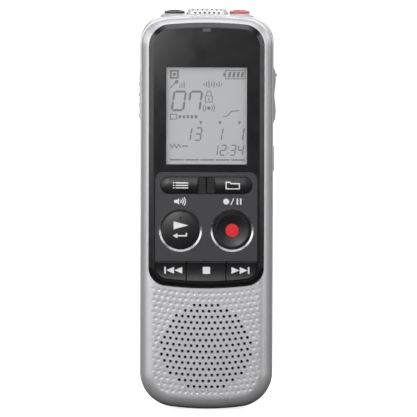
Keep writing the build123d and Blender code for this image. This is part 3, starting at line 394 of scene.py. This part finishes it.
def laid(name, outlines, find_y, surface, body, cuts=0, proud=PAINT_PROUD):
    """A piece made of prints: it takes its finish and rides on a body."""
    bm = bmesh.new()
    for outline in outlines:
        add_print(bm, outline, find_y, cuts, proud)
    bmesh.ops.scale(bm, vec=(MM, MM, MM), verts=bm.verts)
    bmesh.ops.recalc_face_normals(bm, faces=bm.faces)
    mesh = bpy.data.meshes.new(name)
    bm.to_mesh(mesh)
    bm.free()
    piece = bpy.data.objects.new(name, mesh)
    bpy.context.scene.collection.objects.link(piece)
    mesh.materials.append(surface.material)
    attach(piece, body)


# ======== display
def display_art():
    """Digits and signs of the display: u runs right and w runs down from its upper left corner."""
    low, high = node_box("display_window")
    digits, signs = [], []

    def u(right):
        return low.x + WINDOW_FLANGE + right

    def w(down):
        return high.z - WINDOW_FLANGE - down

    for shapes, lefts, foot, width, height, stroke in DIGIT_ROWS:
        for shape, left in zip(shapes, lefts):
            digits.extend(digit(shape, u(left), w(foot), width, height, stroke))
    # the clock's colon
    digits.extend(box_outline(u(17.75), w(z), 0.3, 0.35) for z in (23.4, 24.7))
    # foot line
    signs.extend(box_outline(u(3.1 + i * 4.36), w(26.7), 4.0, 0.38) for i in range(5))
    # marked folder
    signs.extend(ribbon(box_outline(u(2.3), w(2.1), 2.0, 2.05), 0.5, closed=True))
    signs.append(disc(u(2.3), w(2.1), 0.5, 16))
    # battery level
    signs.extend(ribbon(box_outline(u(19.75), w(2.15), 5.6, 2.4), HAIRLINE, closed=True))
    signs.append(box_outline(u(16.55), w(2.15), 0.5, 1.1))
    for i in range(4):
        x = u(17.65 + i * 1.2)
        signs.append([(x, w(2.95)), (x + 0.7, w(2.95)), (x + 1.0, w(1.35)), (x + 0.3, w(1.35))])
    # microphone and its level
    signs.extend(ribbon([(u(1.2), w(6.0)), (u(2.7), w(4.4))], BOLD_LINE))
    signs.append(disc(u(2.95), w(4.25), 0.55, 14))
    signs.extend(box_outline(u(x), w(6.0 - h / 2), 0.26, h) for x, h in ((3.9, 0.9), (4.5, 1.4), (5.1, 2.0)))
    # recording quality
    heights = (0.7, 1.4, 2.0, 1.2, 1.8, 0.9, 1.5, 0.6)
    signs.extend(box_outline(u(10.8 + i * 0.72), w(5.0), 0.3, h) for i, h in enumerate(heights))
    # padlock
    signs.extend(ribbon(box_outline(u(12.2), w(9.2), 2.0, 1.8), HAIRLINE, closed=True))
    shackle = [(u(11.55), w(8.2)), *arc(u(12.2), w(7.5), 0.65, 180, 0), (u(12.85), w(8.2))]
    signs.extend(ribbon(shackle, HAIRLINE))
    signs.append(box_outline(u(12.2), w(9.25), 0.3, 0.8))
    # sound waves
    signs.append(disc(u(12.2), w(11.8), 0.5, 14))
    for radius in (1.0, 1.6):
        for middle in (0, 180):
            signs.extend(ribbon(arc(u(12.2), w(11.8), radius, middle - 40, middle + 40), HAIRLINE))
    # folder, and a row of marks
    signs.extend(ribbon(box_outline(u(2.1), w(14.3), 1.8, 1.4), HAIRLINE, closed=True))
    signs.extend(box_outline(u(3.9 + i * 1.15), w(14.3), 0.7, 0.9) for i in range(5))
    # low cut
    slope = [(u(16.3), w(14.2)), (u(17.6), w(14.0)), (u(18.6), w(12.7)), (u(20.9), w(12.5))]
    signs.extend(ribbon(slope, 0.28))
    # year, month and day
    for x in (9.9, 15.4, 20.9):
        signs.append([(u(x - 0.5), w(15.6)), (u(x + 0.5), w(15.6)), (u(x), w(16.6))])
    # noise filter
    zigzag = [(u(1.1 + i * 0.62), w(22.2 + 1.1 * (i % 2))) for i in range(6)]
    signs.extend(ribbon(zigzag, HAIRLINE))
    signs.append(box_outline(u(5.4), w(22.75), 1.8, 0.3))
    return digits, signs


def display(ink):
    front = node_box("display_glass")[0].y
    digits, signs = display_art()

    def flat(_x, _z):
        return front

    for name, outlines in (("display_digits", digits), ("display_signs", signs)):
        laid(name, outlines, flat, ink, "main_body", proud=INK_PROUD)


# ======== printed signs of the keypad
def arrow(x, z, width, height, way=1):
    """A filled triangle that points along X: way is 1 for right and -1 for left."""
    back, tip = x - way * width / 2, x + way * width / 2
    return [(back, z - height / 2), (tip, z), (back, z + height / 2)]


def key_middle(node):
    low, high = node_box(node)
    return (low.x + high.x) / 2, (low.z + high.z) / 2


def menu_sign():
    """Three lines of a list, each with its mark."""
    x, z = key_middle("menu_key")
    x -= 0.7
    made = []
    for step in (-1, 0, 1):
        made.append(box_outline(x - 2.0, z + step * 0.72, 0.4, 0.34))
        made.append(box_outline(x + 0.35, z + step * 0.72, 3.6, 0.34))
    return made


def folder_sign():
    """The outline of a folder with its tab."""
    x, z = key_middle("folder_key")
    x += 0.9
    tab = [(x - 1.9, z + 0.95), (x - 0.8, z + 0.95), (x - 0.45, z + 0.55), (x + 1.9, z + 0.55)]
    return ribbon([*tab, (x + 1.9, z - 0.95), (x - 1.9, z - 0.95)], 0.32, closed=True)


def play_sign():
    """A triangle, and a return arrow below it."""
    x, z = key_middle("play_key")
    made = [arrow(x + 0.15, z + 1.45, 4.2, 2.3)]
    elbow = [(x + 1.7, z - 0.75), (x + 1.7, z - 1.55), (x - 0.9, z - 1.55)]
    made.extend(ribbon(elbow, 0.42))
    made.append(arrow(x - 1.5, z - 1.55, 1.3, 1.5, -1))
    return made


def skip_sign(x, z, way):
    """Two triangles that point at a bar: way is 1 for right and -1 for left."""
    arrows = [arrow(x + way * step, z, 2.25, 1.95, way) for step in (-1.5, 0.85)]
    return [box_outline(x + way * 2.3, z, 0.45, 1.95), *arrows]


def rewind_sign():
    x, z = key_middle("rewind_key")
    return skip_sign(x + 0.85, z + 0.22, -1)


def forward_sign():
    x, z = key_middle("forward_key")
    return skip_sign(x - 0.45, z + 0.22, 1)


def stop_sign():
    x, z = key_middle("stop_key")
    return [box_outline(x + 0.08, z + 0.3, 2.1, 2.0)]


def plate_signs():
    """Above the play key a sounding speaker, and above the record key a dot, a stroke and two bars."""
    x, z = key_middle("play_key")
    x -= 0.9
    z += PLATE_SIGNS_RISE
    cone = [(x - 0.2, z - 0.4), (x + 0.5, z - 0.95), (x + 0.5, z + 0.95), (x - 0.2, z + 0.4)]
    made = [[(x - 0.9, z - 0.4), *cone, (x - 0.9, z + 0.4)]]
    for radius in (0.75, 1.35, 1.95):
        made.extend(ribbon(arc(x + 0.35, z, radius, -38, 38, 8), 0.3))
    x = key_middle("record_key")[0]
    made.append(disc(x - 1.7, z, 0.85, 28))
    made.extend(ribbon([(x - 0.35, z - 0.95), (x + 0.45, z + 0.95)], 0.28))
    made.extend(box_outline(x + 1.5 + i * 0.95, z, 0.45, 1.8) for i in (0, 1))
    return made


def printed_signs(ink):
    body_of = {node: body for body, members in BODIES.items() for node in members}
    signs = {
        # node: (outlines, cuts that let them follow a curved key)
        "menu_key": (menu_sign(), 2),
        "folder_key": (folder_sign(), 3),
        "play_key": (play_sign(), 5),
        "rewind_key": (rewind_sign(), 2),
        "stop_key": (stop_sign(), 3),
        "forward_key": (forward_sign(), 2),
        "keypad_plate": (plate_signs(), 0),
    }
    for node, (outlines, cuts) in signs.items():
        laid(f"{node}_sign", outlines, front_of(node), ink, body_of[node], cuts=cuts)


# ======== finishes of the CAD nodes
FINISHES = {
    # slot: (kind, and what it takes after its name)
    "silver_case": (silver_paint, (0.495, 0.495, 0.505)),
    "side_control": (silver_paint, (0.45, 0.45, 0.46)),
    "panel_gloss": (gloss_plastic, (0.004, 0.004, 0.005), 0.16),
    "window_clear": (clear_window,),
    "lens_smoke": (satin_plastic, (0.05, 0.05, 0.055), 0.35, 0.15, 0.003),
    "keypad_plate": (satin_plastic, (0.019, 0.019, 0.022), 0.5),
    "key_gloss": (gloss_plastic, (0.006, 0.006, 0.007), 0.26),
    "bezel_chrome": (steel, (0.3, 0.3, 0.31), 0.2),
    "record_red": (gloss_plastic, (0.56, 0.006, 0.011), 0.4),
    "ring_black": (gloss_plastic, (0.015, 0.015, 0.015), 0.25),
    "ring_red": (gloss_plastic, (0.42, 0.06, 0.07), 0.3),
    "grille_metal": (silver_paint, (0.48, 0.48, 0.49)),
    "key_rubber": (satin_plastic, (0.05, 0.05, 0.05), 0.8),
    "spring_steel": (steel, (0.6, 0.6, 0.58), 0.28),
    "board_green": (circuit_green,),
    "component_black": (satin_plastic, (0.02, 0.02, 0.02), 0.5),
    "connector_rubber": (satin_plastic, (0.3, 0.1, 0.12), 0.8),
    "display_grey": (display_background,),
    "holder_white": (satin_plastic, (0.7, 0.7, 0.68), 0.5),
    "speaker_cloth": (satin_plastic, (0.006, 0.006, 0.006), 0.95, 0.12, 0.03),
    "speaker_foam": (satin_plastic, (0.02, 0.02, 0.02), 0.9, 0.3, 0.08),
    "speaker_steel": (steel, (0.5, 0.5, 0.48), 0.4),
    "speaker_film": (satin_plastic, (0.02, 0.02, 0.022), 0.4),
    "jack_black": (gloss_plastic, (0.015, 0.015, 0.015), 0.3),
    "cell_jacket": (cell_jacket,),
}


def finish_nodes():
    """Gives every CAD node the finish of its slot."""
    finishes = {slot: kind(slot, *values) for slot, (kind, *values) in FINISHES.items()}
    for row in frame["record"]["subparts"]:
        materials = NODES[row["node"]].data.materials
        materials.clear()
        materials.append(finishes[row["material_slot"]].material)


# ======== studio
def grey(value):
    return (value, value, value, 1.0)


def backdrop(tree, strength):
    made = tree.nodes.new("ShaderNodeBackground")
    made.inputs["Color"].default_value = WHITE
    made.inputs["Strength"].default_value = strength
    return made.outputs[0]


def studio_world():
    """White where the camera looks past the floor, and a dim even room for the light."""
    world = bpy.data.worlds.new("studio")
    world.use_nodes = True
    tree = world.node_tree
    tree.nodes.clear()
    path = tree.nodes.new("ShaderNodeLightPath")
    mix = tree.nodes.new("ShaderNodeMixShader")
    out = tree.nodes.new("ShaderNodeOutputWorld")
    tree.links.new(path.outputs["Is Camera Ray"], mix.inputs[0])
    tree.links.new(backdrop(tree, ROOM_LIGHT), mix.inputs[1])
    tree.links.new(backdrop(tree, BACKDROP_LIGHT), mix.inputs[2])
    tree.links.new(mix.outputs[0], out.inputs[0])
    bpy.context.scene.world = world


def softbox(name, place, size, radiance):
    """A rectangle of even light that faces the object."""
    lamp = bpy.data.lights.new(name, "AREA")
    lamp.shape = "RECTANGLE"
    lamp.size, lamp.size_y = size
    lamp.energy = radiance * math.pi * size[0] * size[1]
    box = bpy.data.objects.new(name, lamp)
    bpy.context.scene.collection.objects.link(box)
    box.location = place
    box.rotation_mode = "QUATERNION"
    box.rotation_quaternion = (AIM - Vector(place)).to_track_quat("-Z", "Y")
    box.visible_camera = False


def studio_floor():
    """A pale floor that lights the object from below only a little."""
    mesh = bpy.data.meshes.new("floor")
    half = FLOOR_SIZE / 2
    corners = [(-half, -half, 0), (half, -half, 0), (half, half, 0), (-half, half, 0)]
    mesh.from_pydata(corners, [], [(0, 1, 2, 3)])
    floor = bpy.data.objects.new("floor", mesh)
    bpy.context.scene.collection.objects.link(floor)
    paint = bpy.data.materials.new("floor")
    paint.use_nodes = True
    tree = paint.node_tree
    tree.nodes.clear()
    path = tree.nodes.new("ShaderNodeLightPath")
    seen = tree.nodes.new("ShaderNodeBsdfDiffuse")
    seen.inputs["Color"].default_value = grey(FLOOR_SEEN)
    glow = tree.nodes.new("ShaderNodeEmission")
    glow.inputs["Strength"].default_value = FLOOR_GLOW
    both = tree.nodes.new("ShaderNodeAddShader")
    unseen = tree.nodes.new("ShaderNodeBsdfDiffuse")
    unseen.inputs["Color"].default_value = grey(FLOOR_UNSEEN)
    mix = tree.nodes.new("ShaderNodeMixShader")
    out = tree.nodes.new("ShaderNodeOutputMaterial")
    tree.links.new(seen.outputs[0], both.inputs[0])
    tree.links.new(glow.outputs[0], both.inputs[1])
    tree.links.new(path.outputs["Is Camera Ray"], mix.inputs[0])
    tree.links.new(unseen.outputs[0], mix.inputs[1])
    tree.links.new(both.outputs[0], mix.inputs[2])
    tree.links.new(mix.outputs[0], out.inputs[0])
    mesh.materials.append(paint)


def studio_camera():
    """A long lens, slightly above the object and very slightly to its right."""
    lens = bpy.data.cameras.new("camera")
    lens.sensor_width = SENSOR
    lens.lens = SENSOR * CAMERA_DISTANCE / FRAME_HEIGHT
    camera = bpy.data.objects.new("camera", lens)
    bpy.context.scene.collection.objects.link(camera)
    back = Vector((
        math.sin(CAMERA_TURN) * math.cos(CAMERA_TILT),
        -math.cos(CAMERA_TURN) * math.cos(CAMERA_TILT),
        math.sin(CAMERA_TILT),
    ))
    camera.location = AIM + back * CAMERA_DISTANCE
    camera.rotation_mode = "QUATERNION"
    upright = (-back).to_track_quat("-Z", "Y")
    camera.rotation_quaternion = upright @ Quaternion((0, 0, 1), CAMERA_ROLL)
    bpy.context.scene.camera = camera


def studio():
    studio_world()
    studio_floor()
    studio_camera()
    for name, (place, size, radiance) in SOFTBOXES.items():
        softbox(name, place, size, radiance)
    bpy.context.scene.view_settings.view_transform = "Standard"


finish_nodes()
display(display_ink("display_ink"))
printed_signs(white_ink("key_sign"))
studio()
